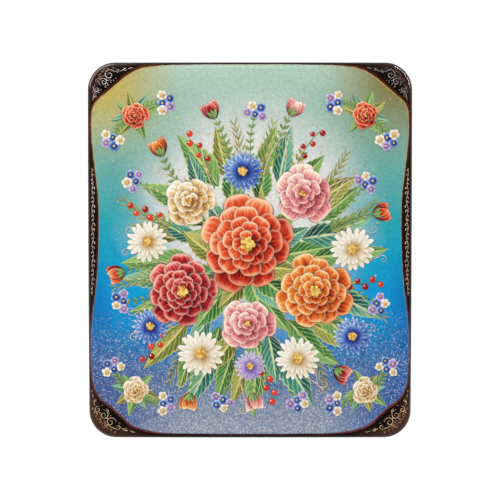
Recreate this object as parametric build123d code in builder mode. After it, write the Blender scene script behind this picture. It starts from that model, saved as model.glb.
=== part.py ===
"""A hinged papier-mache lacquer box with a gently domed lid.

The frame: X runs along the hinge, +Y points from the front edge to the hinge edge, +Z is up,
and the origin is the middle of the base's underside. All lengths are in millimetres.
"""

import math
import os

from build123d import *

# Plan of the box and of its lid
box_width = 130.0
box_depth = 151.0
corner_radius = 11.0

# Base board
base_thickness = 4.0
base_plug_height = 2.0
base_edge_round = 1.2

# Wound wall of the box and the rim of the lid, sawn from the same tube
wall_thickness = 4.5
wall_height = 27.0
lid_rim_height = 9.5
parting_edge_round = 0.35

# Lid panel
lid_thickness = 5.5
lid_crown_rise = 1.8
lid_edge_round = 2.6

# Inner collar, whose top stands up as a lip inside the lid
collar_thickness = 1.6
lip_height = 4.0
lip_edge_round = 0.6

# Hinge
hinge_length = 80.0
hinge_inset = 1.5
knuckle_count = 7
knuckle_gap = 0.15
pin_diameter = 1.6
hinge_sheet = 0.5
tail_length = 6.0
rivet_diameter = 1.1
rivet_spacing = 6.0
rivet_row = 4.2
pin_end_chamfer = 0.2
stop_angle = 100.0

# Clearances
glue_gap = 0.1
lip_clearance = 0.4
pin_clearance = 0.05
barrel_clearance = 0.3
slot_clearance = 0.1
rivet_clearance = 0.03

# Heights worked out from the sizes above
parting_z = base_thickness + wall_height
floor_z = base_thickness + base_plug_height
lid_panel_z = parting_z + lid_rim_height
lid_top_z = lid_panel_z + lid_thickness

# Plan offsets, each measured inwards from the outer outline
collar_outside = wall_thickness + glue_gap
collar_inside = collar_outside + collar_thickness
lid_rim_inside = collar_outside - lip_clearance

# The crown is part of a large sphere that falls by the rise from the middle to a corner
half_diagonal = math.hypot(box_width, box_depth) / 2
crown_radius = (half_diagonal**2 + lid_crown_rise**2) / (2 * lid_crown_rise)

# Hinge axis, on the parting plane just inside the back face
back_y = box_depth / 2
axis_y = back_y - hinge_inset
bore_radius = pin_diameter / 2 + pin_clearance
barrel_radius = bore_radius + hinge_sheet
tail_thickness = 2 * hinge_sheet
knuckle_pitch = hinge_length / knuckle_count
knuckle_length = knuckle_pitch - knuckle_gap
knuckle_middles = [(i - (knuckle_count - 1) / 2) * knuckle_pitch for i in range(knuckle_count)]
# Knuckles take turns along the pin, so that the box holds the first and the last
box_knuckle_middles = knuckle_middles[0::2]
lid_knuckle_middles = knuckle_middles[1::2]

# Hinge parts are drawn on the side plane, whose x is +Y and whose y is +Z, with its normal along +X
hinge_plane = Plane(origin=(0, axis_y, parting_z), x_dir=(0, 1, 0), z_dir=(1, 0, 0))
# Rivets lie along Y: this plane's x is +X, its y is +Z, and its normal points to the front
rivet_plane = Plane(origin=(0, back_y, parting_z), x_dir=(1, 0, 0), z_dir=(0, -1, 0))

DOWN = -1
UP = 1


def outline(inset=0.0, mode=Mode.ADD):
    """The box's rounded outline in the sketch at hand, drawn in by a distance all round."""
    RectangleRounded(box_width - 2 * inset, box_depth - 2 * inset, corner_radius - inset, mode=mode)


def rivet_places(middles, side):
    """Rivet centres on the rivet plane: a pair for each knuckle, on one side of the hinge axis."""
    offsets = (-rivet_spacing / 2, rivet_spacing / 2)
    return [(middle + offset, side * rivet_row) for middle in middles for offset in offsets]


def cut_hinge_seat(middles, side):
    """Cuts the hinge's bevel, cove, tail slots and rivet holes out of the wall at hand."""
    bevel_drop = hinge_inset * math.tan(math.radians(stop_angle / 2))
    with BuildSketch(hinge_plane) as bevel:
        with BuildLine():
            Polyline((0, 0), (hinge_inset, 0), (hinge_inset, side * bevel_drop), close=True)
        make_face()
    extrude(bevel.sketch, amount=box_width / 2, both=True, mode=Mode.SUBTRACT)
    with BuildSketch(hinge_plane) as cove:
        Circle(barrel_radius + barrel_clearance)
    extrude(cove.sketch, amount=hinge_length / 2 + barrel_clearance, both=True, mode=Mode.SUBTRACT)
    slot_depth = tail_length + slot_clearance
    with Locations(*[(middle, axis_y, parting_z + side * slot_depth / 2) for middle in middles]):
        Box(
            knuckle_length + 2 * slot_clearance,
            tail_thickness + 2 * slot_clearance,
            slot_depth,
            mode=Mode.SUBTRACT,
        )
    with BuildSketch(rivet_plane) as rivet_holes:
        with Locations(*rivet_places(middles, side)):
            Circle(rivet_diameter / 2 + rivet_clearance)
    extrude(rivet_holes.sketch, amount=wall_thickness, mode=Mode.SUBTRACT)


os.makedirs("parts", exist_ok=True)

# Base board: a full-size board with a raised middle that plugs the wound wall
with BuildPart() as base_board:
    with BuildSketch(Plane.XY):
        outline()
    extrude(amount=base_thickness)
    fillet(base_board.edges().group_by(Axis.Z)[0], base_edge_round)
    with BuildSketch(Plane.XY.offset(base_thickness)):
        outline(inset=collar_outside)
    extrude(amount=base_plug_height)
base_board.part.label = "base_board"
export_step(base_board.part, "parts/base_board.step")

# Wound wall: the tube of the box, with the hinge let into its back edge
with BuildPart() as box_wall:
    with BuildSketch(Plane.XY.offset(base_thickness)):
        outline()
        outline(inset=wall_thickness, mode=Mode.SUBTRACT)
    extrude(amount=wall_height)
    rim_face = box_wall.faces().sort_by(Axis.Z)[-1]
    fillet(rim_face.outer_wire().edges(), parting_edge_round)
    cut_hinge_seat(box_knuckle_middles, DOWN)
box_wall.part.label = "box_wall"
export_step(box_wall.part, "parts/box_wall.step")

# Collar: the thin inner tube that lines the wall and stands up as the lid's lip
with BuildPart() as box_collar:
    with BuildSketch(Plane.XY.offset(floor_z)):
        outline(inset=collar_outside)
        outline(inset=collar_inside, mode=Mode.SUBTRACT)
    extrude(amount=parting_z + lip_height - floor_z)
    lip_face = box_collar.faces().sort_by(Axis.Z)[-1]
    fillet(lip_face.edges(), lip_edge_round)
box_collar.part.label = "box_collar"
export_step(box_collar.part, "parts/box_collar.step")

# Lid rim: the sawn-off end of the tube, relieved inside so that it slips over the lip
with BuildPart() as lid_rim:
    with BuildSketch(Plane.XY.offset(parting_z)):
        outline()
        outline(inset=lid_rim_inside, mode=Mode.SUBTRACT)
    extrude(amount=lid_rim_height)
    edge_face = lid_rim.faces().sort_by(Axis.Z)[0]
    fillet(edge_face.outer_wire().edges(), parting_edge_round)
    cut_hinge_seat(lid_knuckle_middles, UP)
lid_rim.part.label = "lid_rim"
export_step(lid_rim.part, "parts/lid_rim.step")

# Lid panel: the pressed board that closes the rim, crowned on top and rounded at its edge
with BuildPart() as lid_panel:
    with BuildSketch(Plane.XY.offset(lid_panel_z)):
        outline()
    extrude(amount=lid_thickness)
    with Locations((0, 0, lid_top_z - crown_radius)):
        Sphere(crown_radius, rotation=(0, 90, 0), mode=Mode.INTERSECT)
    crown_face = lid_panel.faces().sort_by(Axis.Z)[-1]
    fillet(crown_face.edges(), lid_edge_round)
lid_panel.part.label = "lid_panel"
export_step(lid_panel.part, "parts/lid_panel.step")


def make_knuckle(name, middle, side):
    """One hinge knuckle: a strip folded round the pin, with both ends laid together as its tail."""
    with BuildPart() as knuckle:
        with BuildSketch(hinge_plane.offset(middle)):
            Circle(barrel_radius)
            with Locations((0, side * tail_length / 2)):
                Rectangle(tail_thickness, tail_length)
            Circle(bore_radius, mode=Mode.SUBTRACT)
        extrude(amount=knuckle_length / 2, both=True)
        with BuildSketch(rivet_plane):
            with Locations(*rivet_places([middle], side)):
                Circle(rivet_diameter / 2 + rivet_clearance)
        extrude(amount=wall_thickness, mode=Mode.SUBTRACT)
    knuckle.part.label = name
    export_step(knuckle.part, f"parts/{name}.step")


for number, middle in enumerate(box_knuckle_middles, start=1):
    make_knuckle(f"hinge_knuckle_box_{number}", middle, DOWN)
for number, middle in enumerate(lid_knuckle_middles, start=1):
    make_knuckle(f"hinge_knuckle_lid_{number}", middle, UP)

# Hinge pin: a straight wire through all the knuckles
with BuildPart() as hinge_pin:
    with BuildSketch(hinge_plane):
        Circle(pin_diameter / 2)
    extrude(amount=hinge_length / 2, both=True)
    chamfer(hinge_pin.edges().filter_by(GeomType.CIRCLE), pin_end_chamfer)
hinge_pin.part.label = "hinge_pin"
export_step(hinge_pin.part, "parts/hinge_pin.step")


def make_rivets(name, middles, side, length):
    """The rivets of one hinge leaf, filed flush with the back face."""
    with BuildPart() as rivets:
        with BuildSketch(rivet_plane):
            with Locations(*rivet_places(middles, side)):
                Circle(rivet_diameter / 2)
        extrude(amount=length)
    rivets.part.label = name
    export_step(rivets.part, f"parts/{name}.step")


make_rivets("box_hinge_rivets", box_knuckle_middles, DOWN, wall_thickness)
make_rivets("lid_hinge_rivets", lid_knuckle_middles, UP, lid_rim_inside)

print(f"box {box_width:g} x {box_depth:g} x {lid_top_z:g}, hinge axis at y {axis_y:g}, z {parting_z:g}")
print(f"crown radius {crown_radius:.1f}, barrel radius {barrel_radius:g}, knuckle length {knuckle_length:.3f}")
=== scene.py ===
# %% [markdown]
# # A lacquered papier-mache box
# This lesson dresses a finished CAD model. The box, its lid and its hinge come in as a fixed frame, and
# nothing here moves them. What is left to do is what a lacquer workshop does: coat the board in black and
# red, lay a painted field on the lid, draw gold scrolls on the black round it, and paint a folk bouquet.

# %% The frame
import math
import random

import bmesh
import bpy
import numpy as np
from mathutils import Matrix, Vector


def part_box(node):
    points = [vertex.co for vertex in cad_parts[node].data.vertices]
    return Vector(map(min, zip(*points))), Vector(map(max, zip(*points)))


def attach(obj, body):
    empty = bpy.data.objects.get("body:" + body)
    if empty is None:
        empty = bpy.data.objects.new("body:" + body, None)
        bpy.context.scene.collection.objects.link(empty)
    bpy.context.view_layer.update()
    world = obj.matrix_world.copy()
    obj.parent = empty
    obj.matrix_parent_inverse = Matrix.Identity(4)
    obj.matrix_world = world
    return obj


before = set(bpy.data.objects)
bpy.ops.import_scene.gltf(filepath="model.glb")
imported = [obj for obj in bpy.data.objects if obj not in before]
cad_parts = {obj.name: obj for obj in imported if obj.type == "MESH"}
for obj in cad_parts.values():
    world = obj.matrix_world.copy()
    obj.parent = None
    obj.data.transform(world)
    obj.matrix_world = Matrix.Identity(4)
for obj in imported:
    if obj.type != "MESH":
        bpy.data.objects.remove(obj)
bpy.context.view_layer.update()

MM = 0.001

# %% [markdown]
# ## The lid as a surface to paint on
# The lid is a board with a slight crown and a rounded edge, and every brush stroke has to lie on it. One
# could shrinkwrap each stroke onto the CAD mesh, but its facets would then show in the gloss. The lid's
# shape is simple, so a formula gives its height at any point of its plan, and all paint is laid by that.

# %% The lid's height
CORNER_RADIUS = 11.0 * MM
CROWN_RISE = 1.8 * MM
EDGE_ROUND = 2.6 * MM

HALF_WIDTH, HALF_DEPTH, LID_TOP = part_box("lid_panel")[1]
CROWN_RADIUS = (HALF_WIDTH**2 + HALF_DEPTH**2) / (2 * CROWN_RISE)


def lid_height(x, y):
    """Height of the lid's surface over points of its plan, rounded edge and all."""
    x, y = np.abs(x), np.abs(y)
    flat_x = np.minimum(x, HALF_WIDTH - EDGE_ROUND)
    flat_y = np.minimum(y, HALF_DEPTH - EDGE_ROUND)
    crown = LID_TOP - (flat_x**2 + flat_y**2) / (2 * CROWN_RADIUS)
    past_x = x - (HALF_WIDTH - CORNER_RADIUS)
    past_y = y - (HALF_DEPTH - CORNER_RADIUS)
    corner = np.hypot(np.maximum(past_x, 0), np.maximum(past_y, 0))
    from_edge = CORNER_RADIUS - corner - np.minimum(np.maximum(past_x, past_y), 0)
    turned = np.clip(EDGE_ROUND - from_edge, 0, EDGE_ROUND)
    return crown - EDGE_ROUND + np.sqrt(EDGE_ROUND**2 - turned**2)


for place in [(0, 0), (HALF_WIDTH - EDGE_ROUND, 0), (HALF_WIDTH, 0)]:
    print("lid height in mm at", [round(p / MM, 1) for p in place], "is", round(lid_height(*place) / MM, 3))

# %% [markdown]
# ## Small helpers
# Operators act on what is selected, so each piece starts with everything deselected. A colour is written
# as the hex value that a screen shows, and the shader wants linear light, so one function converts it.
# Another adds a node, sets it up and links it, which keeps every material below short enough to read: the
# first word names the node, the second its operation, and its inputs follow in the order of its sockets.

# %% Helpers
# The property that says what a node does, by kind of node
MODES = {"Math": "operation", "VectorMath": "operation", "MapRange": "interpolation_type", "Mix": "data_type"}
CLEAR_COAT = {"IOR": 1.5, "Coat_Weight": 1.0, "Coat_IOR": 1.52}


def start_clean(piece=None):
    """Deselects everything, and takes up a piece to work on where one is given."""
    bpy.ops.object.select_all(action="DESELECT")
    if piece:
        piece.select_set(True)
        bpy.context.view_layer.objects.active = piece


def linear(hex_colour):
    """An sRGB hex value as linear RGBA."""
    parts = [int(hex_colour[i : i + 2], 16) / 255 for i in (1, 3, 5)]
    return [part / 12.92 if part <= 0.04045 else ((part + 0.055) / 1.055) ** 2.4 for part in parts] + [1]


def add(paint, kind, *inputs, stops=(), **settings):
    """Adds a node. Inputs are numbers, hex colours or nodes. A setting names a socket or a property."""
    tree = paint.node_tree
    kind, _, mode = kind.partition(" ")
    node = tree.nodes.new("ShaderNode" + kind)
    if mode:
        setattr(node, MODES[kind], mode)
    for place, _ in stops[2:]:
        node.color_ramp.elements.new(place)
    for number, (place, colour) in enumerate(stops):
        stop = node.color_ramp.elements[number]
        stop.position = place
        stop.color = linear(colour)
    fed = list(zip([socket for socket in node.inputs if socket.enabled], inputs))
    for key, value in settings.items():
        socket = node.inputs.get(key.replace("_", " "))
        if socket is None:
            setattr(node, key, value)
        else:
            fed.append((socket, value))
    for socket, value in fed:
        if hasattr(value, "outputs"):
            value = next(output for output in value.outputs if output.enabled)
        if isinstance(value, bpy.types.NodeSocket):
            tree.links.new(value, socket)
        else:
            socket.default_value = linear(value) if isinstance(value, str) else value
    return node


def chain(paint, kind, first, *others):
    """Adds one node after another, each of which takes in one more input."""
    for other in others:
        first = add(paint, kind, first, other)
    return first


def new_material(name):
    """An empty node material."""
    paint = bpy.data.materials.new(name)
    paint.use_nodes = True
    paint.node_tree.nodes.clear()
    return paint


def object_place(paint):
    """Where a point lies on the object, as one vector and as its x, y and z."""
    place = add(paint, "TexCoord").outputs["Object"]
    return place, *add(paint, "SeparateXYZ", place).outputs


def surface(paint, **sockets):
    """Closes a material with the shader that its nodes feed."""
    add(paint, "OutputMaterial", Surface=add(paint, "BsdfPrincipled", **sockets))
    return paint


def per_mm(size):
    """The scale of a texture whose features are this many millimetres apart."""
    return 1 / (size * MM)


print("red lacquer in linear light:", [round(part, 3) for part in linear("#981c12")])

# %% [markdown]
# ## Lacquered board
# The board is papier-mache under many coats of lacquer, black outside and red inside, each rubbed down
# and the last polished until it mirrors the room. A board could carry two materials, but a CAD mesh is
# left alone, so one material asks where a point is: what lies inside the walls is red. The same distance
# from the outline warms the black towards the lid's rim, most at its front corners, and brown board shows
# in places along the foot and the parting edges, where use has worn the coats through.

# %% Lacquered board
WALL_INSIDE = 4.15 * MM
UNDER_FLOOR = 5.0 * MM
UNDER_LID = 41.0 * MM
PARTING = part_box("lid_rim")[0][2]


def distance_from_outline(paint, place):
    """A node with the distance from a point to the box's outline, in plan."""
    core = (HALF_WIDTH - CORNER_RADIUS, HALF_DEPTH - CORNER_RADIUS, 1)
    past = add(paint, "VectorMath SUBTRACT", add(paint, "VectorMath ABSOLUTE", place), core)
    corner = add(paint, "VectorMath LENGTH", add(paint, "VectorMath MAXIMUM", past, (0, 0, 0)))
    x, y, _ = add(paint, "SeparateXYZ", past).outputs
    side = add(paint, "Math MINIMUM", add(paint, "Math MAXIMUM", x, y), 0.0)
    return add(paint, "Math SUBTRACT", CORNER_RADIUS, add(paint, "Math ADD", corner, side))


def lacquered_board():
    """Hand-polished lacquer on papier-mache: deep and wet to the eye, with a faint ripple in its mirror."""
    paint = new_material("hand_polished_lacquer")
    place, x, y, z = object_place(paint)
    from_edge = distance_from_outline(paint, place)

    cloud = add(paint, "TexNoise", place, Scale=per_mm(14), Detail=4.0)
    black = add(paint, "ValToRGB", cloud, stops=[(0.3, "#050302"), (0.75, "#0f0806")])
    # The black turns a warmer brown towards the top of the lid's rim, most at the front corners and least at
    # the middle of the sides.
    rim = add(paint, "MapRange SMOOTHSTEP", from_edge, 6.5 * MM, 0.5 * MM)
    top = add(paint, "MapRange", z, UNDER_LID, UNDER_LID + 2.5 * MM)
    front = add(paint, "MapRange", y, -50 * MM, -66 * MM, 0.15, 0.95)
    back = add(paint, "MapRange", y, 54 * MM, 68 * MM, 0.15, 0.42)
    ends = add(paint, "Math MAXIMUM", front, back)
    bend = add(paint, "MapRange", add(paint, "Math ABSOLUTE", x), 40 * MM, 56 * MM, 0.06, 1.0)
    tone_share = chain(paint, "Math MULTIPLY", rim, top, ends, bend)
    warm = add(paint, "Mix RGBA", tone_share, black, "#4a3429")

    to_parting = add(paint, "Math ABSOLUTE", add(paint, "Math SUBTRACT", z, PARTING))
    to_edge = add(paint, "Math MINIMUM", to_parting, z)
    at_edge = add(paint, "MapRange", to_edge, 0.25 * MM, 1.0 * MM, 1.0, 0.0)
    rubs = add(paint, "TexNoise", place, Scale=per_mm(6), Detail=5.0, Roughness=0.6)
    rubbed = add(paint, "MapRange", rubs, 0.52, 0.72)
    outermost = add(paint, "MapRange", from_edge, 0.3 * MM, 1.2 * MM, 1.0, 0.0)
    worn = chain(paint, "Math MULTIPLY", at_edge, rubbed, outermost)
    used = add(paint, "Mix RGBA", worn, warm, "#5c4027")

    brushed = add(paint, "Mapping", place, Scale=(1, 1, 0.15))
    streak = add(paint, "TexNoise", brushed, Scale=per_mm(3), Detail=5.0)
    red = add(paint, "ValToRGB", streak, stops=[(0.3, "#87160f"), (0.55, "#981c12"), (0.8, "#a52416")])
    within = add(paint, "Math GREATER_THAN", from_edge, WALL_INSIDE)
    above = add(paint, "Math GREATER_THAN", z, UNDER_FLOOR)
    below = add(paint, "Math LESS_THAN", z, UNDER_LID)
    inside = chain(paint, "Math MULTIPLY", within, above, below)
    colour = add(paint, "Mix RGBA", inside, used, red)

    haze = add(paint, "TexNoise", place, Scale=per_mm(9), Detail=6.0, Roughness=0.65)
    polish = add(paint, "MapRange", haze, 0.3, 0.75, 0.14, 0.30)
    ripple = add(paint, "TexNoise", place, Scale=per_mm(7), Detail=1.0)
    relief = add(paint, "Bump", Strength=0.06, Distance=0.05 * MM, Height=ripple)
    return surface(
        paint, Base_Color=colour, Roughness=polish, Normal=relief, Coat_Normal=relief, Specular_IOR_Level=0.2,
        Coat_Roughness=0.035, **CLEAR_COAT
    )


def coat(nodes, material):
    """Gives CAD nodes another material and leaves their meshes alone."""
    for node in nodes:
        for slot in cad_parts[node].material_slots:
            slot.link = "OBJECT"
            slot.material = material
    print(material.name + ":", ", ".join(nodes))


coat(["base_board", "box_wall", "box_collar", "lid_rim", "lid_panel"], lacquered_board())

# %% [markdown]
# ## Brass hinge
# The hinge is sheet brass folded round a wire. Old brass is neither clean gold nor even: it browns where
# fingers miss it and stays bright where the knuckles rub. A noise mixes the two tones and drives the
# roughness, and a stretched noise along the pin draws the marks that rolling and filing leave. Grime sits
# in the joints between the knuckles, which a ping-pong of the place along the pin finds.

# %% Brass
pin_low, pin_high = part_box("hinge_pin")
knuckles = [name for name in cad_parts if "knuckle" in name]
KNUCKLE_PITCH = (pin_high[0] - pin_low[0]) / len(knuckles)


def rolled_brass():
    """Rolled sheet brass, rubbed bright in places: a warm metal with a satin, slightly streaky shine."""
    paint = new_material("rolled_brass")
    place, x, _, _ = object_place(paint)
    blotch = add(paint, "TexNoise", place, Scale=per_mm(2.5), Detail=5.0, Roughness=0.6)
    clean = add(paint, "ValToRGB", blotch, stops=[(0.3, "#866536"), (0.5, "#b08a4c"), (0.75, "#d2af6a")])
    from_end = add(paint, "Math SUBTRACT", x, pin_low[0])
    to_joint = add(paint, "Math PINGPONG", from_end, KNUCKLE_PITCH / 2)
    grime = add(paint, "MapRange", to_joint, 0.15 * MM, 0.7 * MM, 0.92, 0.0)
    tone = add(paint, "Mix RGBA", grime, clean, "#1e140a")
    shine = add(paint, "MapRange", blotch, 0.3, 0.7, 0.48, 0.24)
    along = add(paint, "Mapping", place, Scale=(0.06, 1, 1))
    marks = add(paint, "TexNoise", along, Scale=per_mm(0.35), Detail=3.0)
    relief = add(paint, "Bump", Strength=0.25, Distance=0.03 * MM, Height=marks)
    return surface(paint, Base_Color=tone, Roughness=shine, Normal=relief, Metallic=1.0)


coat([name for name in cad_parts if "hinge" in name], rolled_brass())

# %% [markdown]
# ## The painted field's outline
# The picture fills the lid as a figured field: nearly straight at the ends, drawn in by an ogee at each
# corner and by a long shallow hollow at each side, where the black shows through as a lens. Only a few
# points of the right half are needed. They are read off at the rim's scale, and the top of the lid is
# nearer to the eye than the rim, so they are drawn in by about a hundredth. A closed Bezier curve with
# automatic handles runs through them and their mirror images, and gives the field's edge and its lines.

# %% Field outline
FIELD_RIGHT = [
    (0, 75.1), (26, 74.95), (38, 74.5), (44.9, 73.3), (50.3, 70.4), (54.2, 67.2), (58.0, 63.9), (61.4, 61.1),
    (63.6, 58.1), (64.3, 53), (64.3, 47), (63.6, 39), (62.4, 29), (61.55, 21), (61.3, 12), (61.4, 2),
    (61.65, -5), (62.1, -12), (62.9, -19.5), (63.8, -27), (64.35, -37), (64.15, -48), (63.2, -55),
    (60.7, -59.9), (55.7, -64.0), (51.5, -67.8), (48.6, -70.5), (44.6, -72.4), (38, -73.85), (20, -74.45),
    (0, -74.55),
]
# How much smaller the top is read off than the rim, how that changes along the lid, and a shift in mm
NEARER = 0.9886
KEYSTONE = 0.0000763
SHIFT = 0.58


def on_top(x, y):
    """A place on the lid's top, read off in millimetres at the scale of the rim, in metres."""
    share = NEARER * (1 - KEYSTONE * y)
    return share * x * MM, (share * y + SHIFT) * MM


def field_outline():
    """The field's edge as a ring of points in plan, from the middle of the back."""
    corners = FIELD_RIGHT + [(-x, y) for x, y in reversed(FIELD_RIGHT[1:-1])]
    start_clean()
    bpy.ops.curve.primitive_bezier_circle_add()
    curve = bpy.context.object
    spline = curve.data.splines[0]
    spline.bezier_points.add(len(corners) - len(spline.bezier_points))
    for point, (x, y) in zip(spline.bezier_points, corners):
        point.co = (*on_top(x, y), 0)
        point.handle_left_type = point.handle_right_type = "AUTO"
    spline.resolution_u = 8
    bpy.ops.object.convert(target="MESH")
    return curve


field_edge = field_outline()
EDGE_POINTS = [(point.co.x, point.co.y) for point in field_edge.data.vertices]
half_width = max(x for x, _ in EDGE_POINTS)
print("field edge:", len(EDGE_POINTS), "points, half width in mm", round(half_width / MM, 2))

# %% [markdown]
# ## The painted ground
# A ground of pearly paint covers the field and runs out over the rounded rim. The outline is extruded
# inwards ring by ring, as one would by hand with E and S, so that points lie close together where the rim
# curves and far apart on the crown. Then each point drops onto the lid, and Solidify gives a film.

# %% Ground sheet
RING_SHARES = [0.990, 0.990, 0.990, 0.988, 0.985, 0.97, 0.93, 0.86, 0.75, 0.6, 0.35]
FILM = 0.03 * MM
GROUND_LIFT = 0.07 * MM


def lay_on_lid(piece, lift=0.0):
    """Drops a piece, drawn flat on the plan, onto the lid."""
    points = np.empty(3 * len(piece.data.vertices))
    piece.data.vertices.foreach_get("co", points)
    points = points.reshape(-1, 3)
    points[:, 2] += lid_height(points[:, 0], points[:, 1]) + lift
    piece.data.vertices.foreach_set("co", points.ravel())
    piece.data.update()


def give_film(piece, thickness=FILM):
    """Gives a sheet of paint its thickness, downwards."""
    start_clean(piece)
    film = piece.modifiers.new("film", "SOLIDIFY")
    film.thickness = thickness
    film.offset = -1
    bpy.ops.object.modifier_apply(modifier=film.name)


def ground_sheet(edge):
    """The field as a sheet of rings, from its edge to its middle."""
    start_clean(edge)
    bpy.ops.object.mode_set(mode="EDIT")
    bpy.ops.mesh.select_all(action="SELECT")
    for share in RING_SHARES:
        bpy.ops.mesh.extrude_region_move()
        bpy.ops.transform.resize(value=(share, share, 1), center_override=(0, 0, 0))
    bpy.ops.mesh.merge(type="CENTER")
    bpy.ops.mesh.select_all(action="SELECT")
    bpy.ops.mesh.normals_make_consistent(inside=False)
    if bmesh.from_edit_mesh(edge.data).faces[:][0].normal.z < 0:
        bpy.ops.mesh.flip_normals()
    bpy.ops.object.mode_set(mode="OBJECT")
    edge.name = "picture_ground"
    lay_on_lid(edge, GROUND_LIFT)
    give_film(edge)
    bpy.ops.object.shade_smooth_by_angle(angle=math.radians(40))
    return edge


ground = ground_sheet(field_edge)
print("ground:", len(ground.data.polygons), "faces")

# %% [markdown]
# ## The ground's paint
# The ground goes from sage at the back through turquoise and blue to a pearly lilac at the front, with a
# pale glow above the middle, olive gold in the back corners, and fine flakes of mother-of-pearl and leaf
# that thicken towards the front. A ramp along Y gives the bands, a soft round mask the glow, and a cell
# texture the flakes. Real flakes are about a tenth of a millimetre and would vanish, so they are coarser.

# %% Ground paint
BANDS = [
    (0.0, "#c0c8c4"), (0.07, "#acb4b8"), (0.15, "#6683aa"), (0.25, "#1688c8"), (0.36, "#009bde"),
    (0.47, "#08a2cc"), (0.57, "#24a7b6"), (0.70, "#62aca6"), (0.85, "#90beb0"), (1.0, "#b4d2c2"),
]
GLOW_MIDDLE = (0, 16 * MM, 45 * MM)
PEARL_FLAKE = 0.38
PEARL_TONES = [
    (0.0, "#0c3274"), (0.4, "#2462a4"), (0.58, "#7a70a8"), (0.72, "#469cbc"), (0.87, "#9a9ec8"),
    (1.0, "#f6f0f4"),
]
FLAKES_SHOW = 0.58


def pearly_ground():
    """Thin oil paint over leaf and mother-of-pearl, under clear lacquer: milky, with points of colour."""
    paint = new_material("pearl_ground_paint")
    place, x, y, _ = object_place(paint)
    side = add(paint, "Math ABSOLUTE", x)
    across = add(paint, "MapRange", x, -HALF_WIDTH, HALF_WIDTH)
    wash = add(paint, "TexNoise", place, Scale=per_mm(22), Detail=5.0, Roughness=0.6)
    drift = add(paint, "MapRange", wash, 0.25, 0.75, -5 * MM, 5 * MM)
    level = add(paint, "MapRange", add(paint, "Math ADD", y, drift), -HALF_DEPTH, HALF_DEPTH)
    band = add(paint, "ValToRGB", level, stops=BANDS)

    flank = add(paint, "MapRange SMOOTHSTEP", side, 51 * MM, 62 * MM, 0.0, 0.6)
    lower = add(paint, "MapRange SMOOTHSTEP", y, 10 * MM, -22 * MM)
    band = add(paint, "Mix RGBA", add(paint, "Math MULTIPLY", flank, lower), band, "#0a64b0")
    outer = add(paint, "MapRange SMOOTHSTEP", side, 22 * MM, 58 * MM)
    low = add(paint, "MapRange SMOOTHSTEP", y, -28 * MM, -64 * MM)
    deeps = add(paint, "ValToRGB", across, stops=[(0.1, "#3e5390"), (0.9, "#1c5aa6")])
    sea = add(paint, "Mix RGBA", add(paint, "Math MULTIPLY", outer, low), band, deeps)
    high = add(paint, "MapRange SMOOTHSTEP", y, 30 * MM, 68 * MM)
    gilt = add(paint, "ValToRGB", across, stops=[(0.1, "#c2b052"), (0.9, "#827c42")])
    sky = add(paint, "Mix RGBA", add(paint, "Math MULTIPLY", outer, high), sea, gilt)

    apart = add(paint, "VectorMath DISTANCE", place, GLOW_MIDDLE)
    near = add(paint, "MapRange SMOOTHSTEP", add(paint, "Math ADD", apart, drift), 56 * MM, 24 * MM)
    glow = add(paint, "Mix RGBA", near, sky, "#e4e6e4")

    cells = add(paint, "TexVoronoi", place, Scale=per_mm(PEARL_FLAKE))
    tone, lot, _ = add(paint, "SeparateColor", cells.outputs["Color"]).outputs
    pearl = add(paint, "ValToRGB", tone, stops=PEARL_TONES)
    strew = add(paint, "MapRange", y, -23 * MM, -44 * MM, 0.0, 0.8)
    flake = add(paint, "Math MULTIPLY", add(paint, "Math LESS_THAN", lot, strew), FLAKES_SHOW)
    colour = add(paint, "Mix RGBA", flake, glow, pearl)

    grain = add(paint, "TexNoise", place, Scale=per_mm(1.1), Detail=3.0)
    value = add(paint, "MapRange", grain, 0.25, 0.75, 0.86, 1.12)
    tinted = add(paint, "VectorMath SCALE", colour, value)
    relief = add(paint, "Bump", Strength=0.12, Distance=0.04 * MM, Height=grain)
    return surface(paint, Base_Color=tinted, Normal=relief, Roughness=0.4, Coat_Roughness=0.04, **CLEAR_COAT)


def finish_piece(piece, paint):
    """Gives a painted piece its paint, and fixes it to the lid."""
    piece.data.materials.clear()
    piece.data.materials.append(paint)
    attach(piece, "lid")
    print(piece.name + ":", len(piece.data.polygons), "faces")


finish_piece(ground, pearly_ground())

# %% [markdown]
# ## Brush lines
# A line drawn with a fine brush swells and thins with the pressure of the hand. It could be a texture,
# but a curve gives a crisp line that stands a little proud of the lacquer, as thick paint does. Each
# stroke is a NURBS spline with a radius at every point. All strokes of an ornament are turned into one
# mesh, and its round section is pressed flat onto the lid.

# %% Brush lines
PRESSED = 0.3


def brush_lines(name, strokes, width, lift, closed=False, pressed=PRESSED):
    """Strokes of paint as one piece. A stroke is a list of (x, y, pressure), full width at pressure 1."""
    start_clean()
    bpy.ops.curve.primitive_nurbs_path_add()
    lines = bpy.context.object
    lines.name = name
    lines.data.splines.clear()
    for stroke in strokes:
        spline = lines.data.splines.new("NURBS")
        spline.points.add(len(stroke) - 1)
        for point, (x, y, pressure) in zip(spline.points, stroke):
            point.co = (x, y, 0, 1)
            point.radius = pressure
        spline.use_cyclic_u = closed
        spline.use_endpoint_u = not closed
        spline.order_u = spline.resolution_u = 3
    lines.data.bevel_depth = width / 2
    lines.data.bevel_resolution = 1
    lines.data.use_fill_caps = True
    bpy.ops.object.convert(target="MESH")
    bpy.ops.object.mode_set(mode="EDIT")
    bpy.ops.mesh.select_all(action="SELECT")
    bpy.ops.transform.resize(value=(1, 1, pressed), center_override=(0, 0, 0))
    bpy.ops.object.mode_set(mode="OBJECT")
    lay_on_lid(lines, lift)
    bpy.ops.object.shade_smooth_by_angle(angle=math.radians(50))
    return lines


print("brush lines are pressed to", PRESSED, "of their width")

# %% [markdown]
# ## The lines round the field
# A brown line covers the join of picture and black, broad at the corners and fine along the sides. It is
# laid over a wider line of thinned brown, so that it melts into the black, and a pale hairline runs just
# inside it. All follow the field's own points, so they can't drift from it, and the pressure of the brush
# grows towards the corners.

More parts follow.
